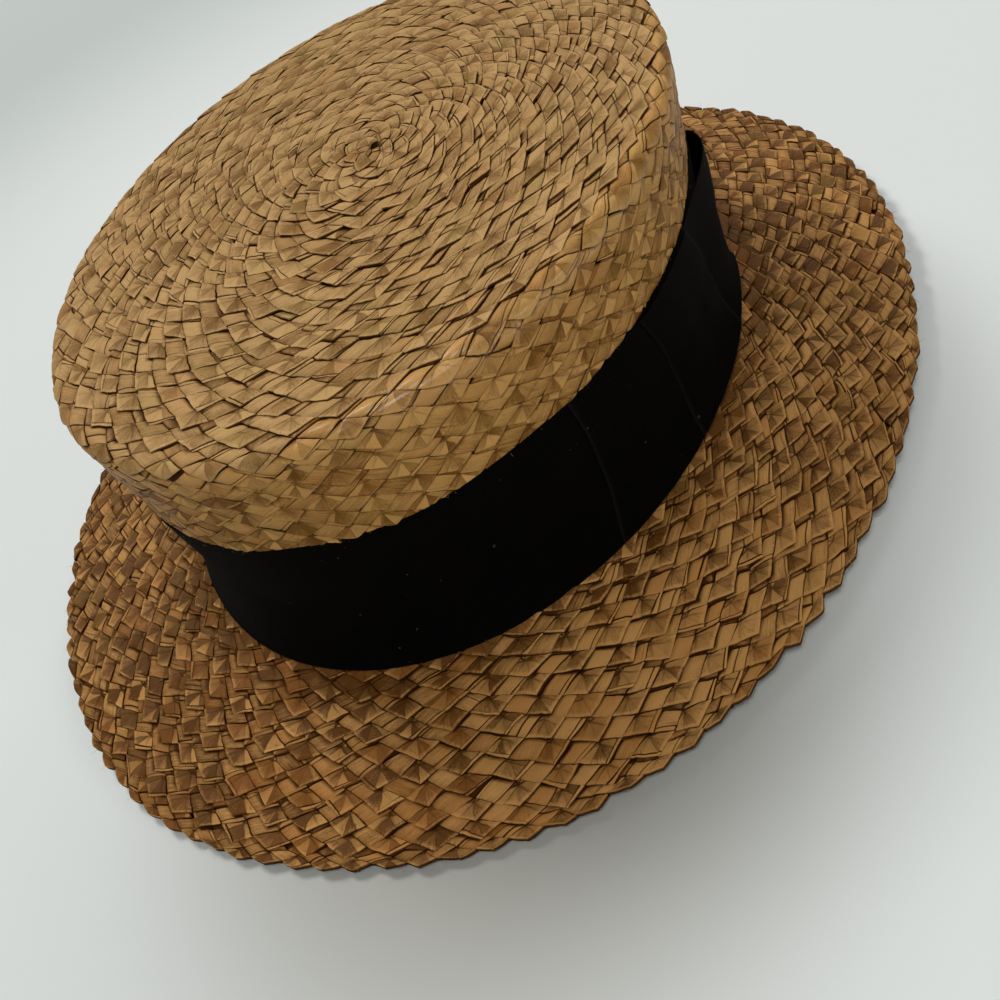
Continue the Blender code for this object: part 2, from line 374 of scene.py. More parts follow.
def lay_cells(plait, rows, level, cover, style_at, marks, face=1, turns=(-math.inf, math.inf), rounded=None):
    """Adds one level of cells of these rows.

    cover gives the edge of the row that lies over their inner part, or None; style_at gives the style at a
    reach; face is 1 for the outer face of the straw and -1 for its inner face, where the teeth point
    inwards; turns are the first and last turn to fill; rounded softens the reach at an outer edge.
    """
    turn4, reach4, base4 = rows.corners(level)
    middle = turn4.mean(1)
    keep = (middle > turns[0]) & (middle <= turns[1])
    if cover is not None:
        keep &= ((reach4 - cover(turn4)) * face).max(1) > -1.6 * MM
    turn4, reach4, base4 = turn4[keep], reach4[keep], base4[keep]
    if not len(turn4):
        return
    style = style_at(reach4.mean(1))
    dice = {word: chance.uniform(low, high, (len(turn4), 1)) for word, (low, high) in DICE.items()}
    leans_right = (dice["lean"] < style["lean"])[:, 0] if level == 1 else np.ones(len(turn4), bool)
    pick = dice["pick"][:, 0]
    plain = len(marks) <= len(PLAIN)
    ways = ((1, WHOLE),) if plain or level > 1 else PILLOW_SPLITS if level == 1 else TOOTH_SPLITS
    for group, right in ((leans_right, True), (~leans_right, False)):
        begin = 0
        for share, parts in ways:
            chosen = group & (pick >= begin) & (pick < begin + share)
            begin += share
            if not chosen.any():
                continue
            own_style = {word: value[chosen] for word, value in style.items()}
            own_dice = {word: value[chosen] for word, value in dice.items()}
            for number, part in enumerate(parts):
                part = part if right else part[2:] + part[:2]
                lay_part(plait, rows, level, (turn4[chosen], reach4[chosen], base4[chosen]), part, number, right,
                         cover, own_style, own_dice, marks, face, rounded)


def near_turn(turn, middle, spread):
    """1 at this turn of the hat, falling to 0 on both sides of it."""
    off_turn = np.mod(turn - middle + math.pi, TAU) - math.pi
    return np.exp(-((off_turn / spread) ** 2))


def painted_light_and_shade(turn, reach):
    """Painted light and shade in the straw's brightness: painted light on the brim at two turns and the rest of the
    brim darker, painted shade on the brim by the ribbon's foot, and a painted highlight along the shoulder.
    """
    painted_light_on_brim = 2.5 * near_turn(turn, PAINTED_LIGHT_TURN, PAINTED_LIGHT_SPREAD) + near_turn(turn, BOW_SIDE_LIGHT_TURN, BOW_SIDE_LIGHT_SPREAD) - 0.95
    painted_shade_by_ribbon = 2.2 * np.clip((RIBBON_FOOT_REACH + 15 * MM - reach) / (12 * MM), 0, 1)
    painted_shoulder_highlight = 1.1 * np.exp(-(((reach - SHOULDER_REACH - 1 * MM) / (5 * MM)) ** 2))
    return np.where(reach > RIBBON_FOOT_REACH - 2 * MM, painted_light_on_brim - painted_shade_by_ribbon, painted_shoulder_highlight)


def lay_part(plait, rows, level, corners, part, number, right, cover, style, dice, marks, face, rounded):
    """Adds one straw of each of these cells: its top face and the short walls under its edges."""
    turn4, reach4, base4 = corners
    cells = len(turn4)

    def draw(low, high):
        return chance.uniform(low, high, (cells, 1))

    first_down, last_down, first_across, last_across = part
    down, across, quads, border = cell_grid(marks_for(last_down - first_down, marks),
                                            marks_for(last_across - first_across, marks))
    gap = style["gap"] * dice["gap"]

    def cut(share, other):
        if share in (0, 1):
            return share
        return share + 0.04 * dice["cut"] + 0.12 * dice["slant"] * (other - 0.5)

    p = cut(first_down, across) + gap + (cut(last_down, across) - cut(first_down, across) - 2 * gap) * down
    q = cut(first_across, down) + gap + (cut(last_across, down) - cut(first_across, down) - 2 * gap) * across

    def inside(corner):
        left, bottom, right_corner, top = (corner[:, k, None] for k in range(4))
        return (1 - p) * (1 - q) * left + p * (1 - q) * bottom + p * q * right_corner + (1 - p) * q * top

    turn, base = inside(turn4), inside(base4)
    reach = np.maximum(inside(reach4), 0.4 * MM)
    from_edge = rows.depth - (reach - base) * face
    if rounded is not None:
        reach = rounded(turn, reach)
    sides = (down < 0.01, down > 0.99, across < 0.01, across > 0.99)
    seams = [side[None] * np.clip(draw(-0.25, 1.25), 0, 1) for side in sides]
    at_rim = np.maximum.reduce(seams)
    lift = style["lift"] + dice["lift"] - style["slope"] * from_edge / MM
    lift = np.maximum(lift, -1.15) + style["tilt"] * (dice["tilt_down"] * (p - 0.5) + dice["tilt_across"] * (q - 0.5))
    if number:
        lift = lift + draw(-0.18, 0.10)
    lift = lift - 0.12 * at_rim
    open_to = (reach - cover(turn)) * face / MM if cover is not None else np.full_like(reach, 9.0)
    lift = lift - style["dip"] * np.clip((0.35 - open_to) / 1.1, 0, 1)
    under_ribbon = np.minimum(reach - RIBBON_TOP_REACH, RIBBON_FOOT_REACH - reach) / MM
    lift = lift - 0.6 * np.clip(under_ribbon / 2 - 0.2, 0, 1) * (face == 1)
    sideways, ahead = p + q - 1, p - q
    # The straw's own random brightness, with the painted light and shade added.
    bright = 0.50 * dice["bright"] + 0.75 * dice["bright"] ** 3 + painted_light_and_shade(turn, reach)
    if level == 1:
        along, over = (q, p) if right else (p, q)
        lift = lift + pillow_shape(along, over, style, dice)
        # Painted highlight along a pillow's middle and painted shade towards its ends, where it dips under.
        bright = bright + style["odds"] + 0.55 - 0.9 * np.abs(2 * along - 1) ** 3
        grain_along, grain_over, crease = along * 6.3, over * 6.3, np.zeros_like(p)
    else:
        relief, folded_edge = tooth_shape(p, q, style, dice)
        lift = lift + relief
        # A tooth's folded lower edge gets a painted highlight.
        bright = bright - style["odds"] - 0.30 + (1.5 + style["odds"]) * folded_edge * (level == 0)
        grain_along = np.hypot(sideways, ahead + 1.5) * 3.4
        grain_over = np.arctan2(sideways, ahead + 1.5) * 4.5
        crease = np.broadcast_to(style["crease"] * (0.75 + 0.25 * dice["ridge"]), p.shape)
    if number:
        bright = bright + draw(-0.1, 0.6)
        crease = np.zeros_like(p)
    # Painted shade, partly the straws' own dark edges: the seams are darkened, and so is the strip beside the edge of
    # the row above.
    crevice_shade = style["seam"] * 1.15 * at_rim
    if level == 0:
        outer_edge = ((down > 0.99) & (last_down == 1)) | ((across < 0.01) & (first_across == 0))
        crevice_shade = np.where(outer_edge[None], 0.0, crevice_shade)
    shaded = style["under"] * np.exp(-np.maximum(open_to, 0) / style["shade"])
    crevice_shade = np.maximum(crevice_shade, draw(0.75, 1.15) * shaded)
    lift, wall = lift * MM, style["wall"] * MM
    points = place(turn, reach, lift if face == 1 else -STRAW - lift)
    low_lift = lift[:, border] - wall
    low = place(turn[:, border], reach[:, border], low_lift if face == 1 else -STRAW - low_lift)

    def three(a, b, c):
        return np.stack([np.broadcast_to(value, p.shape) for value in (a, b, c)], -1)

    grain = three(grain_along, grain_over, dice["seed"] + number * 1.7)
    ruddy = 0.60 * near_turn(turn, RUDDIEST_TURN, RUDDY_SPREAD) * (reach > RIBBON_FOOT_REACH - 2 * MM)
    tone = three(bright, dice["hue"] + ruddy + (draw(-0.5, 0.5) if number else 0), crevice_shade)
    fold = three(sideways, ahead, crease)
    # Painted shade: a straw's walls are darker at their top and fully dark at their foot.
    edge_tone = tone[:, border].copy()
    edge_tone[..., 2] = np.maximum(edge_tone[..., 2], 0.5)
    low_tone = edge_tone.copy()
    low_tone[..., 2] = 1.0
    top, ring = p.shape[1], len(border)
    here = np.arange(ring)
    after = np.roll(here, -1)
    walls = np.stack([top + here, top + ring + here, top + ring + after, top + after], -1)
    faces = np.concatenate([quads, walls])
    plait.add(np.concatenate([points, points[:, border], low], 1), faces[:, ::-1] if face == 1 else faces,
              np.concatenate([grain, grain[:, border], grain[:, border]], 1),
              np.concatenate([tone, edge_tone, low_tone], 1),
              np.concatenate([fold, fold[:, border], fold[:, border]], 1))


def crown_tooth(reach):
    if reach > SHOULDER_REACH:
        return SIDE_TOOTH
    return (6.2 + 6.0 * min(1, reach / (28 * MM))) * MM


TOOTH_DEPTH_MM = 2.9
HALF_TOOTH_MM = 5.6
FOLD_ANGLE = 0.85
CROWN_TOOTH_DEPTH = TOOTH_DEPTH_MM * MM
CROWN_PITCH = 6.35 * MM
SIDE_PITCH = 6.0 * MM
SIDE_TOOTH = 10.25 * MM


def crown_pitch(reach):
    return CROWN_PITCH if reach < TIP_REACH else SIDE_PITCH


def crown_style(reach):
    """The tip's deep plait, pressed flatter over the shoulder and on the side."""
    pressed = np.clip((reach - SHOULDER_REACH) / (6 * MM), 0, 1)
    return style_between(TIP_STYLE, SIDE_STYLE, pressed)


def brim_style(reach):
    return style_between(BRIM_STYLE, BRIM_STYLE, np.zeros(len(reach)))


def crown_plait():
    """The plait of the tip and of the side crown down to below the ribbon's upper edge, one spiral."""
    rows = spiral_rows(2.2 * MM, RIBBON_TOP_REACH + 8 * MM, crown_pitch, crown_tooth, CROWN_TOOTH_DEPTH)

    def cover(turn):
        return np.where(turn - TAU < rows.turn[0], -0.01, rows.zigzag(turn - TAU))

    border = np.interp(TIP_REACH + 3 * MM, rows.reach, rows.turn)
    tip, side = Plait(), Plait()
    for plait, turns in ((tip, (-math.inf, border)), (side, (border, math.inf))):
        for level, marks in enumerate((FINE, MEDIUM, COARSE)):
            lay_cells(plait, rows, level, cover, crown_style, marks, turns=turns)
    return tip.build("tip_plait"), side.build("side_plait")


BRIM_TOOTH_DEPTH = TOOTH_DEPTH_MM * MM
BRIM_PITCH = 5.3 * MM
BRIM_TOOTH = 11.2 * MM
BINDING_WIDTH = 4.4 * MM


def brim_rings(face=1):
    """The brim's rows, from under the ribbon out to the row that is sewn over the edge."""
    reach = BRIM_EDGE - BINDING_WIDTH - BRIM_TOOTH_DEPTH + 1.2 * MM
    reaches = []
    while reach > RIBBON_FOOT_REACH - 3 * MM:
        reaches.append(reach)
        reach -= BRIM_PITCH
    return [ring_rows(value, BRIM_TOOTH, BRIM_TOOTH_DEPTH, 1.15, face=face) for value in reversed(reaches)]


def brim_plait():
    """The brim's upper face in two pieces, its inner and its outer rows."""
    rings = brim_rings()
    inner, outer = Plait(), Plait()
    for number, ring in enumerate(rings):
        cover = rings[number - 1].zigzag if number else None
        plait = inner if number < len(rings) / 2 else outer
        for level, marks in enumerate((FINE, MEDIUM, COARSE)):
            lay_cells(plait, ring, level, cover, brim_style, marks)
    return inner.build("brim_inner_rows"), outer.build("brim_outer_rows"), rings[-1]


def binding_plait(last_ring):
    """The last row, sewn over the brim's edge: smaller, rounder teeth, tucked under the row before."""
    depth = 1.7 * MM
    ring = ring_rows(BRIM_EDGE - depth + 0.1 * MM, 8.6 * MM, depth, 1.5)
    style = dict(BRIM_STYLE, slope=0.0, lift=0.05, wall=1.2, puff=0.45, well=0.40, dip=0.5)

    def binding_style(reach):
        return style_between(style, style, np.zeros(len(reach)))

    def rounded(turn, reach):
        softness = 0.8 * MM
        limit = BRIM_EDGE - (0.30 + 0.25 * np.sin(23 * turn) + 0.2 * np.sin(41 * turn + 1)) * MM
        inward = softness * np.log(np.exp((BRIM_EDGE - reach) / softness) + np.exp((BRIM_EDGE - limit) / softness))
        return BRIM_EDGE - inward

    plait = Plait()
    for level, marks in enumerate((FINE, MEDIUM, COARSE)):
        lay_cells(plait, ring, level, last_ring.zigzag, binding_style, marks, rounded=rounded)
    return plait.build("brim_binding")


UNDERSIDE_STYLE = dict(BRIM_STYLE, lift=-0.35, slope=0.05, puff=0.30, well=0.2, tilt=0.15, wall=0.7)
LINING_STYLE = dict(TIP_STYLE, lift=-0.10, slope=0.05, puff=0.25, well=0.15, tilt=0.15, wall=0.7)


def underside_plait():
    """The brim's underside, where the same rows overlap the other way."""
    rings = brim_rings(face=-1)
    plait = Plait()

    def style(reach):
        return style_between(UNDERSIDE_STYLE, UNDERSIDE_STYLE, np.zeros(len(reach)))

    def within_edge(turn, reach):
        return np.minimum(reach, BRIM_EDGE - 2.3 * MM)

    for ring, outer in zip(rings, [*rings[1:], None]):
        cover = outer.zigzag if outer else None
        for level in (0, 1):
            lay_cells(plait, ring, level, cover, style, PLAIN, face=-1, rounded=within_edge)
    return plait.build("brim_underside")


def lining_plait():
    """The plait seen inside the crown, one spiral from the tip's middle down to the brim."""
    rows = spiral_rows(2.2 * MM, BRIM_START + 2 * MM, crown_pitch, crown_tooth, CROWN_TOOTH_DEPTH, face=-1)

    def cover(turn):
        return np.where(turn + TAU > rows.turn[-1], 1.0, rows.zigzag(turn + TAU))

    def style(reach):
        return style_between(LINING_STYLE, LINING_STYLE, np.zeros(len(reach)))

    plait = Plait()
    for level in (0, 1):
        lay_cells(plait, rows, level, cover, style, PLAIN, face=-1)
    return plait.build("crown_inner_plait")


def frays():
    """Loose fibres that stand out of the brim's edge and over the ribbon's upper edge."""
    count, sections, corners = 150, 4, 3
    at_edge = np.arange(count) < 90
    turn = chance.uniform(0, TAU, count)
    reach = np.where(at_edge, BRIM_EDGE - 0.9 * MM, RIBBON_TOP_REACH - 0.2 * MM)
    length = np.where(at_edge, chance.uniform(0.8, 2.6, count), chance.uniform(0.5, 1.3, count)) * MM
    sway, curl = chance.uniform(-1.0, 1.0, count), chance.uniform(-0.8, 0.8, count)
    thickness = chance.uniform(0.035, 0.075, count) * MM
    along = np.linspace(0, 1, sections)[None]
    walked = length[:, None] * along
    turns = turn[:, None] + walked * (sway[:, None] + curl[:, None] * along) / 0.12
    reaches = reach[:, None] + walked * 0.8
    lift = np.where(at_edge, 0.1, 0.7)[:, None] * MM + walked * chance.uniform(-0.1, 0.35, (count, 1))
    middle = straw_face(turns, np.minimum(reaches, BRIM_EDGE + 2 * MM)) + straw_normal(turns, reaches) * lift[..., None]
    points = []
    for corner in range(corners):
        angle = TAU * corner / corners
        offset = np.array([math.cos(angle), math.sin(angle), math.sin(angle + 1)])
        points.append(middle + offset * (thickness[:, None] * (1 - 0.8 * along))[..., None])
    points = np.stack(points, 2)
    number = np.arange(count * sections * corners).reshape(count, sections, corners)
    following = np.roll(number, -1, 2)
    quads = np.stack([number[:, :-1], following[:, :-1], following[:, 1:], number[:, 1:]], -1).reshape(-1, 4)
    size = count * sections * corners
    plain = np.zeros((size, 3))
    grain = np.stack([np.repeat(turn, sections * corners) * 20, plain[:, 0], plain[:, 0]], -1)
    tone = plain + (0.5, 0.2, 0)
    return new_mesh("straw_frays", points.reshape(-1, 3), quads, {"grain": grain, "tone": tone, "fold": plain})


def backing():
    """The dark inner layer of straw, which closes the gaps between the cells; its dark colour is painted shade."""
    tip = np.linspace(0.4 * MM, TIP_REACH, 12)
    shoulder = np.linspace(TIP_REACH, SHOULDER_REACH, 6)[1:]
    side = np.linspace(SHOULDER_REACH, BRIM_START - FOOT_LENGTH, 8)[1:]
    foot = np.linspace(BRIM_START - FOOT_LENGTH, BRIM_START, 9)[1:]
    brim = np.linspace(BRIM_START, BRIM_EDGE - 4.2 * MM, 9)[1:]
    reach = np.concatenate([tip, shoulder, side, foot, brim])
    turn = np.linspace(0, TAU, 180, endpoint=False)
    turns, reaches = np.meshgrid(turn, reach)
    flat = (reaches > TIP_REACH - 1 * MM) & (reaches < RIBBON_TOP_REACH + 6 * MM)
    depth = np.where(flat, -0.90 * MM, -1.30 * MM)
    outer = place(turns, reaches, depth)
    inner = place(turns, reaches, depth - 0.15 * MM)
    rows, columns = turns.shape
    number = np.arange(rows * columns).reshape(rows, columns)
    following = np.roll(number, -1, 1)
    shell = np.stack([number[:-1], number[1:], following[1:], following[:-1]], -1).reshape(-1, 4)
    far = number + rows * columns
    far_next = np.roll(far, -1, 1)
    lining = np.stack([far[:-1], far_next[:-1], far_next[1:], far[1:]], -1).reshape(-1, 4)
    rim = np.stack([number[-1], far[-1], far_next[-1], following[-1]], -1)
    core = np.stack([number[0], following[0], far_next[0], far[0]], -1)
    points = np.concatenate([outer.reshape(-1, 3), inner.reshape(-1, 3)])
    return new_mesh("straw_backing", points, np.concatenate([shell, lining, rim, core]))


# ---------------------------------------------------------------- ribbon and bow

# Where on the side crown the ribbon leaves the straw, to run straight over the foot's bend.
RIBBON_LEAVES = 34 * MM
SOFT_START = 0.6 * MM
LOOSEST_TURN = math.radians(-165)
LOOSE_SPREAD = math.radians(75)


def bridged(turns, stations):
    """How far stiff ribbon stands off the straw where it runs over the hollow of the foot's bend."""
    def profile(station):
        return np.stack(wall_profile(np.asarray(station, float)), -1)

    foot, top = profile(RIBBON_FOOT), profile(RIBBON_LEAVES)
    straight = top - foot
    outward = np.array([straight[1], -straight[0]])
    step = 0.05 * MM
    along = profile(stations + step) - profile(stations - step)
    normal = np.stack([along[..., 1], -along[..., 0]], -1)
    normal = normal / np.linalg.norm(normal, axis=-1, keepdims=True)
    hollow = np.maximum(0, ((foot - profile(stations)) @ outward) / (normal @ outward))
    hollow = np.where(stations < RIBBON_LEAVES, hollow, 0)
    share = 0.55 + 0.45 * near_turn(turns, LOOSEST_TURN, LOOSE_SPREAD)
    return share * hollow**2 / (hollow + SOFT_START)


def cloth_strip(name, turns, stations, lift, thickness, closed, rim=None):
    """A strip of ribbon: turns and stations are grids, lift is its inner face over the straw, rim its edge, paler with
    a painted highlight.
    """
    lift = lift + bridged(turns, stations)
    reach = BRIM_START - stations
    inner = straw_face(turns, reach) + straw_normal(turns, reach) * lift[..., None]
    outer = straw_face(turns, reach) + straw_normal(turns, reach) * (lift + thickness)[..., None]
    rows, columns = turns.shape
    number = np.arange(rows * columns).reshape(rows, columns)
    far = number + rows * columns

    def sheet_faces(grid, flip):
        if closed:
            grid = np.concatenate([grid, grid[:, :1]], 1)
        faces = np.stack([grid[:-1, :-1], grid[1:, :-1], grid[1:, 1:], grid[:-1, 1:]], -1).reshape(-1, 4)
        return faces[:, ::-1] if flip else faces

    def rim_faces(near, away, flip):
        if closed and near.ndim == 1 and len(near) == columns:
            near, away = np.append(near, near[0]), np.append(away, away[0])
        faces = np.stack([near[:-1], near[1:], away[1:], away[:-1]], -1)
        return faces[:, ::-1] if flip else faces

    faces = [sheet_faces(far, False), sheet_faces(number, True),
             rim_faces(number[0], far[0], True), rim_faces(number[-1], far[-1], False)]
    if not closed:
        faces += [rim_faces(number[:, 0], far[:, 0], False), rim_faces(number[:, -1], far[:, -1], True)]
    rim = np.zeros_like(turns) if rim is None else rim
    weave = np.stack([turns * 95, stations / MM, rim], -1).reshape(-1, 3)
    points = np.concatenate([inner.reshape(-1, 3), outer.reshape(-1, 3)])
    thing = new_mesh(name, points, np.concatenate(faces), {"weave": np.concatenate([weave, weave])})
    thing.data.set_sharp_from_angle(angle=math.radians(50))
    return thing


def ribbon_wrap():
    turn = np.linspace(0, TAU, 360, endpoint=False)
    share = np.concatenate([[0, 0.012], np.linspace(0.04, 0.96, 16), [0.988, 1]])
    turns, shares = np.meshgrid(turn, share)
    edge_wave = 0.30 * MM * (np.sin(7 * turns + 1) + np.sin(12 * turns)) * (1 - shares)
    raised_foot = 1.6 * MM * np.exp(-((turns - 0.26) / 0.22) ** 2) * shares
    stations = RIBBON_FOOT + RIBBON_WIDTH * (1 - shares) + edge_wave + raised_foot
    slack = 0.07 * MM * (np.sin(5 * turns + 6 * shares) + 0.6 * np.sin(11 * turns - 4 * shares))
    sunk = 0.22 * MM * np.exp(-((shares / 0.025) ** 2))
    return cloth_strip("ribbon_wrap", turns, stations, 0.20 * MM + slack - sunk, 0.30 * MM, True)


def bow_fold(name, front_edge, back_edge, lift, thickness=0.35 * MM):
    """A flat fold of the bow.

    The edges give its ends' turns in degrees, and lift its height over the straw, at shares of the way
    across it (-1 to 1) and down it (0 to 1).
    """
    share = np.concatenate([[0, 0.015], np.linspace(0.045, 0.955, 26), [0.985, 1]])
    across = np.concatenate([[-1, -0.992, -0.975], np.linspace(-0.94, 0.94, 60), [0.975, 0.992, 1]])
    acrosses, shares = np.meshgrid(across, share)
    front, back = front_edge(shares), back_edge(shares)
    turns = np.radians(front + (back - front) * (acrosses + 1) / 2)
    stations = RIBBON_FOOT + RIBBON_WIDTH * (1 - shares)
    # Painted highlight along the fold's front and back edges.
    rim = np.exp(-(((1 - np.abs(acrosses)) * np.radians(back - front) * HEAD_HALF_LENGTH / MM / 1.8) ** 2))
    return cloth_strip(name, turns, stations, lift(acrosses, shares), thickness, False, rim)


def bow_loops():
    """The bow's flat loops; the hind one stands off the crown and turns back in."""

    def front_edge(share):
        return -41 + 2.2 * np.sin(math.pi * share) - 1.8 * share

    def back_edge(share):
        return 19 + 3 * np.sin(math.pi * share)

    def lift(across, share):
        standing = np.clip((across - 0.25) / 0.6, 0, 1)
        standing = standing * standing * (3 - 2 * standing) * np.sqrt(np.clip((1 - across) / 0.12, 0, 1))
        belly = 0.35 * MM * (1 - across**2) * np.sin(math.pi * share)
        return 0.62 * MM + belly + standing * (3.4 + 1.6 * np.sin(math.pi * share) - 3.0 * share**2) * MM

    return bow_fold("bow_flat_loops", front_edge, back_edge, lift)


def bow_knot():
    """The short fold over the middle of the loops."""

    def front_edge(share):
        return -24.5 + 3.0 * np.sin(math.pi * share) + 3.0 * share

    def back_edge(share):
        return -6 + 4 * np.sin(math.pi * share) + 8 * share

    def lift(across, share):
        rise = np.sin(math.pi * share)
        furrow = 0.35 * MM * np.exp(-(((across - 0.1) / 0.25) ** 2)) * rise
        rounded = np.sqrt(np.clip((1 - np.abs(across)) / 0.10, 0, 1))
        return 1.15 * MM + 0.45 * MM * rounded + 0.5 * MM * (1 - across**2) * rise - furrow

    return bow_fold("bow_flat_knot", front_edge, back_edge, lift)


# ---------------------------------------------------------------- materials

def socket(group, name, kind, way="INPUT", default=None):
    made = group.interface.new_socket(name=name, in_out=way, socket_type=kind)
    if default is not None:
        made.default_value = default
    return made


class Nodes:
    """Short words for making and joining shader nodes."""

    def __init__(self, tree):
        self.tree = tree
        self.column = 0

    def add(self, kind, **settings):
        node = self.tree.nodes.new(kind)
        node.location = (self.column, 0)
        self.column += 180
        for key, value in settings.items():
            setattr(node, key, value)
        return node

    def join(self, out, into):
        self.tree.links.new(out, into)

    def feed(self, into, value):
        if isinstance(value, (int, float)):
            into.default_value = value
        elif isinstance(value, tuple):
            into.default_value = value if len(value) == 4 or into.type == "VECTOR" else (*value, 1)
        else:
            self.join(value, into)

    def math(self, operation, a, b=0.0, clamp=False):
        node = self.add("ShaderNodeMath", operation=operation, use_clamp=clamp)
        self.feed(node.inputs[0], a)
        self.feed(node.inputs[1], b)
        return node.outputs[0]

    def mix(self, share, a, b, blend="MIX"):
        node = self.add("ShaderNodeMix", data_type="RGBA", blend_type=blend)
        self.feed(node.inputs[0], share)
        self.feed(node.inputs[6], a)
        self.feed(node.inputs[7], b)
        return node.outputs[2]

    def noise(self, vector, scale, detail=2.0, roughness=0.5, dimensions="3D"):
        node = self.add("ShaderNodeTexNoise", noise_dimensions=dimensions)
        self.join(vector, node.inputs["Vector"])
        node.inputs["Scale"].default_value = scale
        node.inputs["Detail"].default_value = detail
        node.inputs["Roughness"].default_value = roughness
        return node.outputs["Fac"]

    def white(self, value):
        node = self.add("ShaderNodeTexWhiteNoise", noise_dimensions="1D")
        self.join(value, node.inputs["W"])
        return node.outputs["Value"]

    def parts(self, vector):
        node = self.add("ShaderNodeSeparateXYZ")
        self.join(vector, node.inputs[0])
        return node.outputs[0], node.outputs[1], node.outputs[2]

    def scaled(self, vector, factors):
        node = self.add("ShaderNodeVectorMath", operation="MULTIPLY")
        self.join(vector, node.inputs[0])
        node.inputs[1].default_value = factors
        return node.outputs[0]

    def distance(self, vector, point):
        node = self.add("ShaderNodeVectorMath", operation="DISTANCE")
        self.join(vector, node.inputs[0])
        node.inputs[1].default_value = point
        return node.outputs["Value"]

    def span(self, value, low, high, to_low=0.0, to_high=1.0, easing="LINEAR"):
        node = self.add("ShaderNodeMapRange", clamp=True, interpolation_type=easing)
        self.join(value, node.inputs["Value"])
        for name, number in (("From Min", low), ("From Max", high), ("To Min", to_low), ("To Max", to_high)):
            node.inputs[name].default_value = number
        return node.outputs["Result"]


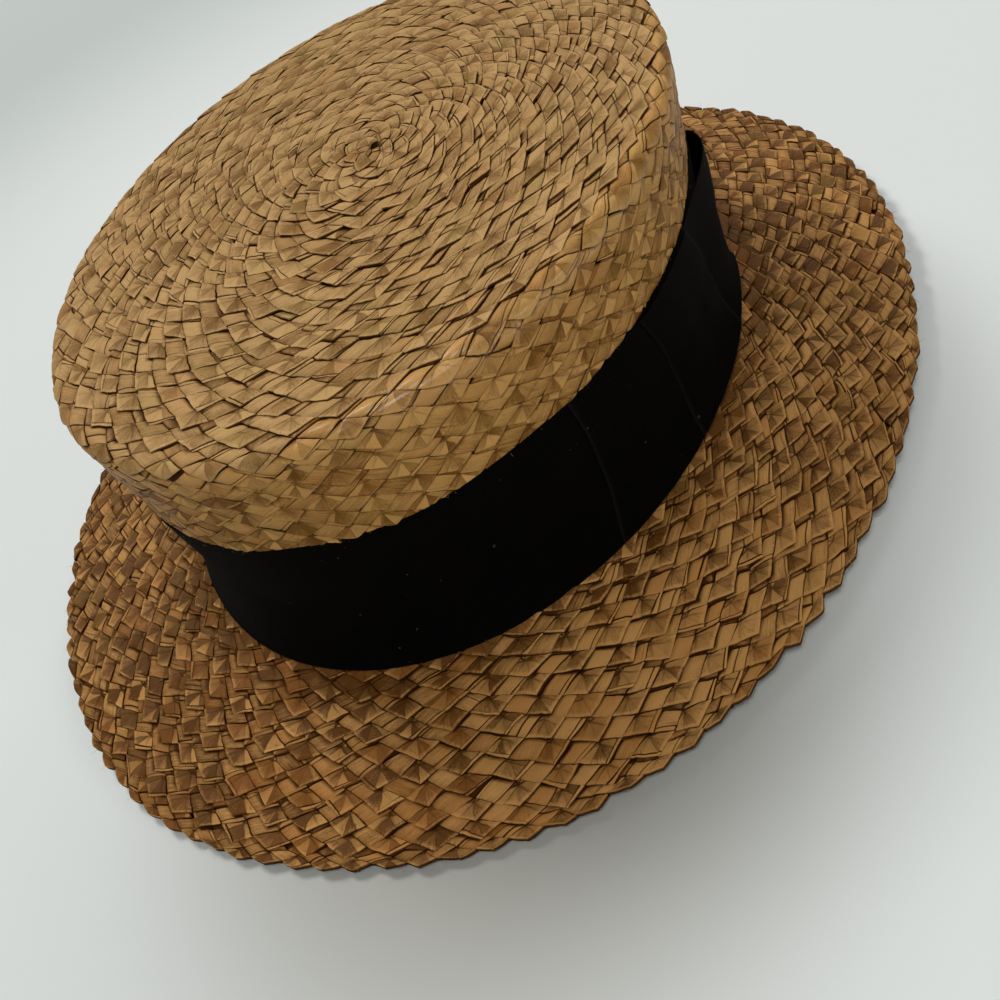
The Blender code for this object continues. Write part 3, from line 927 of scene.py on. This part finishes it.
def straw_fibre_group():
    """Colour, roughness and relief of split straw, from its grain, its tone and its folds; its colour carries painted
    light and shade.
    """
    group = bpy.data.node_groups.new("straw fibre", "ShaderNodeTree")
    for word in ("Grain", "Tone", "Fold"):
        socket(group, word, "NodeSocketVector")
    for word in ("Pale straw", "Dark straw", "Ruddy straw", "Green straw", "Crevice"):
        socket(group, word, "NodeSocketColor")
    for word in ("Streak", "Facets", "Creases"):
        socket(group, word, "NodeSocketFloat", default=0.5)
    socket(group, "Colour", "NodeSocketColor", "OUTPUT")
    socket(group, "Roughness", "NodeSocketFloat", "OUTPUT")
    socket(group, "Height", "NodeSocketFloat", "OUTPUT")
    n = Nodes(group)
    given = n.add("NodeGroupInput")
    result = n.add("NodeGroupOutput")
    bright, hue, crevice_shade = n.parts(given.outputs["Tone"])
    along, over, seed = n.parts(given.outputs["Grain"])
    sideways, ahead, folded = n.parts(given.outputs["Fold"])

    broad = n.noise(n.scaled(given.outputs["Grain"], (0.10, 0.85, 1.0)), 1.0, 3.0)
    fine = n.noise(n.scaled(given.outputs["Grain"], (0.30, 5.0, 1.3)), 1.0, 3.0, 0.6)
    blotch = n.noise(n.scaled(given.outputs["Grain"], (0.35, 0.35, 1.0)), 1.0, 2.0)

    hub = n.span(n.white(seed), 0, 1, -0.85, -0.50)
    speck = n.noise(n.scaled(given.outputs["Grain"], (3.2, 5.5, 1.3)), 1.0, 2.0, 0.6)
    side_mm = n.math("MULTIPLY", sideways, HALF_TOOTH_MM)
    ahead_mm = n.math("MULTIPLY", n.math("SUBTRACT", ahead, hub), TOOTH_DEPTH_MM)
    radius = n.math("SQRT", n.math("ADD", n.math("MULTIPLY", side_mm, side_mm), n.math("MULTIPLY", ahead_mm, ahead_mm)))
    wander = n.math("MULTIPLY", n.math("SUBTRACT", broad, 0.5), 0.3)
    sector = n.math("ADD", n.math("DIVIDE", n.math("ARCTAN2", side_mm, ahead_mm), FOLD_ANGLE), wander)
    drawn = n.white(n.math("ADD", n.math("FLOOR", sector), n.math("MULTIPLY", seed, 7.3)))
    # Painted light and shade: each facet is lighter or darker as a tilted facet would be lit, and a few get a painted
    # glint.
    turned = n.span(drawn, 0.22, 1.0, -0.24, 0.36)
    facet = n.math("ADD", turned, n.span(drawn, 0.68, 0.74, 0.0, 0.36))
    nearest = n.math("ROUND", sector)
    off_crease = n.math("ABSOLUTE", n.math("SUBTRACT", sector, nearest))
    off_crease = n.math("MULTIPLY", n.math("MULTIPLY", off_crease, FOLD_ANGLE), radius)
    force = n.span(n.white(n.math("ADD", n.math("MULTIPLY", nearest, 3.1), seed)), 0.05, 0.60)
    upward = n.span(n.math("ABSOLUTE", nearest), 0, 2, 0.25, 1.0)
    force = n.math("MULTIPLY", force, upward)
    crease = n.math("MULTIPLY", n.span(off_crease, 0.08, 0.36, 1.0, 0.0), force)
    crease = n.math("MULTIPLY", crease, n.span(radius, 2.0, 5.2, 1.0, 0.0))
    crease = n.math("MAXIMUM", crease, n.span(radius, 0.10, 0.70, 1.0, 0.0))
    hub_shade = n.math("MULTIPLY", n.span(radius, 0.2, 3.0, 0.36, 0.0), folded)
    crease = n.math("MULTIPLY", n.math("MULTIPLY", crease, folded), given.outputs["Creases"], clamp=True)
    facet = n.math("MULTIPLY", n.math("MULTIPLY", facet, folded), given.outputs["Facets"])

    streak = n.math("ADD", n.math("MULTIPLY", n.span(fine, 0.32, 0.68), 0.40),
                    n.math("MULTIPLY", n.span(broad, 0.3, 0.7), 0.25))
    streak = n.math("ADD", streak, n.math("MULTIPLY", n.span(speck, 0.32, 0.68), 0.35))
    near_hub = n.math("MULTIPLY", n.span(radius, 1.0, 4.0, 0.85, 0.0), n.span(folded, 0.0, 0.3))
    off_hub = n.math("SUBTRACT", 1.0, near_hub)
    streak = n.math("MULTIPLY", n.math("SUBTRACT", streak, 0.5), n.math("MULTIPLY", off_hub, given.outputs["Streak"]))
    shade = n.math("ADD", n.math("MULTIPLY", bright, 0.30), n.math("ADD", streak, 0.52))
    shade = n.math("ADD", shade, n.math("MULTIPLY", n.math("SUBTRACT", blotch, 0.5), 0.5))
    shade = n.math("SUBTRACT", shade, n.math("MULTIPLY", hub_shade, given.outputs["Creases"]))
    shade = n.math("ADD", shade, facet, clamp=True)
    colour = n.mix(shade, given.outputs["Dark straw"], given.outputs["Pale straw"])
    ruddy = n.span(n.math("ADD", hue, n.math("MULTIPLY", blotch, 0.8)), 0.80, 1.6)
    green = n.span(n.math("SUBTRACT", n.math("MULTIPLY", blotch, 0.8), hue), 0.80, 1.6)
    colour = n.mix(n.math("MULTIPLY", ruddy, 0.40), colour, given.outputs["Ruddy straw"])
    colour = n.mix(n.math("MULTIPLY", green, 0.35), colour, given.outputs["Green straw"])
    crack = n.math("MULTIPLY", n.span(fine, 0.30, 0.36, 0.36, 0.0), off_hub)
    # Painted shade: the seams, the strip beside the row above, the walls and the creases are mixed towards the crevice
    # colour; the cracks are the straw's own.
    tucked = n.math("MAXIMUM", n.span(crevice_shade, 0.08, 0.85), crack)
    tucked = n.math("MAXIMUM", tucked, crease)
    colour = n.mix(tucked, colour, given.outputs["Crevice"])
    n.join(colour, result.inputs["Colour"])
    n.join(n.math("ADD", n.math("MULTIPLY", fine, 0.25), n.math("MULTIPLY", tucked, 0.3)), result.inputs["Roughness"])
    fibres = n.math("ADD", n.math("MULTIPLY", broad, 0.12), n.math("MULTIPLY", fine, 0.10))
    fibres = n.math("ADD", fibres, n.math("MULTIPLY", speck, 0.05))
    planes = n.math("SUBTRACT", n.math("MULTIPLY", facet, radius), n.math("MULTIPLY", crease, 0.30))
    n.join(n.math("ADD", fibres, n.math("MULTIPLY", planes, 0.65)), result.inputs["Height"])
    return group


def straw_material(name, group, colours, roughness, gloss, specular, streak, facets, creases):
    """Straw; gloss is the shine of the pressed shoulder and fades out above and below it."""
    finish = bpy.data.materials.new(name)
    finish.use_nodes = True
    n = Nodes(finish.node_tree)
    shader = finish.node_tree.nodes["Principled BSDF"]
    fibre = n.add("ShaderNodeGroup")
    fibre.node_tree = group
    for word in ("Grain", "Tone", "Fold"):
        stored = n.add("ShaderNodeAttribute", attribute_name=word.lower())
        n.join(stored.outputs["Vector"], fibre.inputs[word])
    for word, colour in colours.items():
        fibre.inputs[word].default_value = (*colour, 1)
    for word, value in (("Streak", streak), ("Facets", facets), ("Creases", creases)):
        fibre.inputs[word].default_value = value
    rough = n.math("ADD", fibre.outputs["Roughness"], roughness, clamp=True)
    n.join(rough, shader.inputs["Roughness"])
    bump = n.add("ShaderNodeBump")
    bump.inputs["Distance"].default_value = MM
    bump.inputs["Strength"].default_value = 1.0
    n.join(fibre.outputs["Height"], bump.inputs["Height"])
    n.join(bump.outputs[0], shader.inputs["Normal"])
    where = n.add("ShaderNodeTexCoord")
    wide, long, height = n.parts(where.outputs["Object"])
    long = n.math("SUBTRACT", long, HEAD_SET_BACK)
    wide_share = n.math("POWER", n.math("DIVIDE", wide, TIP_HALF_WIDTH), 2)
    long_share = n.math("POWER", n.math("DIVIDE", long, TIP_HALF_LENGTH), 2)
    outward = n.span(n.math("ADD", wide_share, long_share), 0.89, 0.97, 0.0, gloss)
    below = n.span(height, SHOULDER_HEIGHT - 5 * MM, SHOULDER_HEIGHT - 2 * MM)
    to_front = n.math("SUBTRACT", n.math("MULTIPLY", wide, 0.75), n.math("MULTIPLY", long, 0.66))
    pressed = n.math("MULTIPLY", n.math("MULTIPLY", outward, below), n.span(to_front, 0.080, 0.093))
    n.join(pressed, shader.inputs["Coat Weight"])
    n.join(fibre.outputs["Colour"], shader.inputs["Base Color"])
    shader.inputs["Coat Roughness"].default_value = 0.24
    shader.inputs["Specular IOR Level"].default_value = specular
    return finish


def backing_material():
    finish = bpy.data.materials.new("backing straw in painted shade")
    finish.use_nodes = True
    n = Nodes(finish.node_tree)
    shader = finish.node_tree.nodes["Principled BSDF"]
    place_in = n.add("ShaderNodeTexCoord")
    mottled = n.noise(place_in.outputs["Object"], 900.0, 3.0)
    # Painted shade: the backing is straw coloured dark, as the hidden straw lies in shade.
    n.join(n.mix(mottled, (0.070, 0.028, 0.006), (0.120, 0.050, 0.010)), shader.inputs["Base Color"])
    shader.inputs["Roughness"].default_value = 0.9
    shader.inputs["Specular IOR Level"].default_value = 0.05
    return finish


def ribbon_material():
    """Matt black ribbon: fine ribs across it, a faint nap, a little lint and a painted highlight along the bow's folded
    edges.
    """
    finish = bpy.data.materials.new("black ribbon")
    finish.use_nodes = True
    n = Nodes(finish.node_tree)
    shader = finish.node_tree.nodes["Principled BSDF"]
    stored = n.add("ShaderNodeAttribute", attribute_name="weave")
    rib = n.add("ShaderNodeTexWave", wave_type="BANDS", bands_direction="X", wave_profile="SIN")
    n.join(stored.outputs["Vector"], rib.inputs["Vector"])
    rib.inputs["Scale"].default_value = 0.55
    rib.inputs["Distortion"].default_value = 0.6
    where = n.add("ShaderNodeTexCoord")
    nap = n.noise(where.outputs["Object"], 1400.0, 4.0, 0.7)
    patch = n.noise(where.outputs["Object"], 60.0, 3.0)
    lint = n.span(n.noise(where.outputs["Object"], 520.0, 1.0), 0.775, 0.80)
    cloth = n.mix(n.span(nap, 0.35, 0.75), (0.0006, 0.0005, 0.0004), (0.0026, 0.0020, 0.0016))
    cloth = n.mix(n.math("MULTIPLY", n.span(patch, 0.4, 0.7), 0.4), cloth, (0.0030, 0.0023, 0.0018))
    along, down, at_edge = n.parts(stored.outputs["Vector"])
    # The bow's folded edges are lighter: a painted highlight.
    cloth = n.mix(n.math("MULTIPLY", at_edge, 0.8), cloth, (0.0095, 0.0080, 0.0070))
    n.join(n.mix(n.math("MULTIPLY", lint, 0.35), cloth, (0.12, 0.11, 0.10)), shader.inputs["Base Color"])
    n.join(n.span(nap, 0.2, 0.8, 0.82, 0.98), shader.inputs["Roughness"])
    bump = n.add("ShaderNodeBump")
    bump.inputs["Distance"].default_value = 0.12 * MM
    n.join(n.math("ADD", n.math("MULTIPLY", rib.outputs["Fac"], 0.5), nap), bump.inputs["Height"])
    n.join(bump.outputs[0], shader.inputs["Normal"])
    shader.inputs["Specular IOR Level"].default_value = 0.04
    shader.inputs["Sheen Weight"].default_value = 0.010
    shader.inputs["Sheen Roughness"].default_value = 0.4
    return finish


# In the photo the floor is darker before the hat's front and far behind its other side: here that is a painted shadow
# before the front and painted shade far from the hat.
SHADE_MIDDLE = (0.0345, -0.120, 0)


def floor_material():
    finish = bpy.data.materials.new("pale floor")
    finish.use_nodes = True
    n = Nodes(finish.node_tree)
    shader = finish.node_tree.nodes["Principled BSDF"]
    where = n.add("ShaderNodeTexCoord")
    cloud = n.noise(where.outputs["Object"], 3.0, 2.0)
    from_shade = n.distance(where.outputs["Object"], SHADE_MIDDLE)
    from_hat = n.distance(where.outputs["Object"], (0, 0, 0))
    # Painted shadow before the hat's front, then painted shade far from the hat.
    open_floor = n.span(from_shade, 0.031, 0.121, 0.0, 1.0, "SMOOTHSTEP")
    tone = n.mix(open_floor, (0.410, 0.410, 0.378), (0.755, 0.795, 0.790))
    tone = n.mix(n.span(from_hat, 0.26, 0.62, 0.0, 0.95, "SMOOTHSTEP"), tone, (0.495, 0.540, 0.530))
    tone = n.mix(n.math("MULTIPLY", cloud, 0.06), tone, (0.60, 0.62, 0.61))
    n.join(tone, shader.inputs["Base Color"])
    shader.inputs["Roughness"].default_value = 0.9
    shader.inputs["Specular IOR Level"].default_value = 0.1
    return finish


# ---------------------------------------------------------------- the studio

CAMERA_TURN = 0.5672
CAMERA_TILT = 0.7543
CAMERA_ROLL = -0.5177
CAMERA_DISTANCE = 0.358
CAMERA_SIDE = 0.0136
CAMERA_UP = -0.0389
CAMERA_LENS = 39.57


def camera_axes():
    back = Vector((math.sin(CAMERA_TURN) * math.cos(CAMERA_TILT),
                   -math.cos(CAMERA_TURN) * math.cos(CAMERA_TILT), math.sin(CAMERA_TILT)))
    level = Vector((math.cos(CAMERA_TURN), math.sin(CAMERA_TURN), 0))
    upright = back.cross(level)
    right = math.cos(CAMERA_ROLL) * level + math.sin(CAMERA_ROLL) * upright
    up = math.cos(CAMERA_ROLL) * upright - math.sin(CAMERA_ROLL) * level
    return right, up, back


def add_camera():
    right, up, back = camera_axes()
    spot = back * CAMERA_DISTANCE + right * CAMERA_SIDE + up * CAMERA_UP + Vector((0, HEAD_SET_BACK, BRIM_TOP))
    lens = bpy.data.cameras.new("camera")
    lens.sensor_width = 36
    lens.lens = CAMERA_LENS
    lens.clip_start = 0.01
    camera = bpy.data.objects.new("camera", lens)
    turned = Matrix((right, up, back)).transposed().to_4x4()
    camera.matrix_world = Matrix.Translation(spot) @ turned
    bpy.context.scene.collection.objects.link(camera)
    bpy.context.scene.camera = camera


def add_light(name, place_at, target, size, power, colour):
    light = bpy.data.lights.new(name, "AREA")
    light.shape = "RECTANGLE"
    light.size, light.size_y = size
    light.energy = power
    light.color = colour
    lamp = bpy.data.objects.new(name, light)
    lamp.location = place_at
    lamp.rotation_euler = (Vector(target) - Vector(place_at)).to_track_quat("-Z", "Y").to_euler()
    bpy.context.scene.collection.objects.link(lamp)
    return lamp


def add_studio():
    size = 3.0
    points = np.array([(-size, -size, 0), (size, -size, 0), (size, size, 0), (-size, size, 0)])
    floor = new_mesh("floor", points, np.array([[0, 1, 2, 3]]))
    floor.data.materials.append(floor_material())
    right, up, back = camera_axes()
    hat_middle = Vector((0, 0, 0.04))
    window = hat_middle + Vector((-1.60, 1.15, 2.10))
    add_light("window", window, hat_middle, (0.9, 0.8), 46.0, (1.0, 0.985, 0.96))
    behind = hat_middle + Vector((0.10, 2.10, 1.15))
    add_light("back window", behind, hat_middle, (1.2, 0.8), 13.0, (1.0, 0.99, 0.97))
    above = hat_middle + Vector((0.38, -0.72, 1.45))
    add_light("lamp overhead", above, hat_middle, (0.6, 0.6), 10.5, (1.0, 0.985, 0.95))
    front = hat_middle + (right * 1.0 + up * 0.25 + back * 0.95)
    add_light("front fill", front, hat_middle, (0.35, 0.30), 1.6, (1.0, 0.97, 0.92))
    world = bpy.data.worlds.new("studio")
    world.use_nodes = True
    world.node_tree.nodes["Background"].inputs["Color"].default_value = (0.95, 0.98, 1.0, 1)
    world.node_tree.nodes["Background"].inputs["Strength"].default_value = 0.11
    bpy.context.scene.world = world
    bpy.context.scene.view_settings.view_transform = "Standard"


# ---------------------------------------------------------------- assembly

def finish_piece(thing, material, slot, *nodes):
    thing.data.materials.append(material)
    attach(thing, "root")
    if nodes:
        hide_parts(*nodes)
    return thing


# Crevice is the colour of the painted shade in the plait's seams, walls and creases.
CREVICE = (0.050, 0.016, 0.0018)
TIP_COLOURS = {"Pale straw": (0.542, 0.328, 0.130), "Dark straw": (0.195, 0.095, 0.023),
               "Ruddy straw": (0.44, 0.205, 0.060), "Green straw": (0.38, 0.270, 0.070), "Crevice": CREVICE}
SIDE_COLOURS = {"Pale straw": (0.622, 0.338, 0.106), "Dark straw": (0.205, 0.086, 0.016),
                "Ruddy straw": (0.43, 0.168, 0.036), "Green straw": (0.39, 0.24, 0.048), "Crevice": CREVICE}
BRIM_COLOURS = {"Pale straw": (0.55, 0.283, 0.088), "Dark straw": (0.112, 0.044, 0.008),
                "Ruddy straw": (0.36, 0.130, 0.024), "Green straw": (0.30, 0.180, 0.034), "Crevice": CREVICE}

add_camera()
add_studio()
fibre = straw_fibre_group()
tip_straw = straw_material("tip straw", fibre, TIP_COLOURS, 0.42, 0.60, 0.06, 1.3, 1.6, 1.0)
side_straw = straw_material("side straw", fibre, SIDE_COLOURS, 0.32, 0.60, 0.06, 1.1, 1.7, 0.7)
brim_straw = straw_material("brim straw", fibre, BRIM_COLOURS, 0.40, 0.0, 0.07, 1.3, 1.8, 1.1)
cloth = ribbon_material()

tip_piece, side_piece = crown_plait()
finish_piece(tip_piece, tip_straw, "crown_straw", "crown_tip")
finish_piece(side_piece, side_straw, "crown_straw", "crown_side")
finish_piece(lining_plait(), tip_straw, "crown_straw")
inner_rows, outer_rows, last_ring = brim_plait()
finish_piece(inner_rows, brim_straw, "brim_straw", "brim")
finish_piece(outer_rows, brim_straw, "brim_straw")
finish_piece(binding_plait(last_ring), brim_straw, "brim_straw")
finish_piece(underside_plait(), brim_straw, "brim_straw")
finish_piece(frays(), brim_straw, "brim_straw")
finish_piece(backing(), backing_material(), "brim_straw")

wrap = finish_piece(ribbon_wrap(), cloth, "ribbon", "ribbon_band")
loops = finish_piece(bow_loops(), cloth, "ribbon", "bow_loops")
knot = finish_piece(bow_knot(), cloth, "ribbon", "bow_knot")
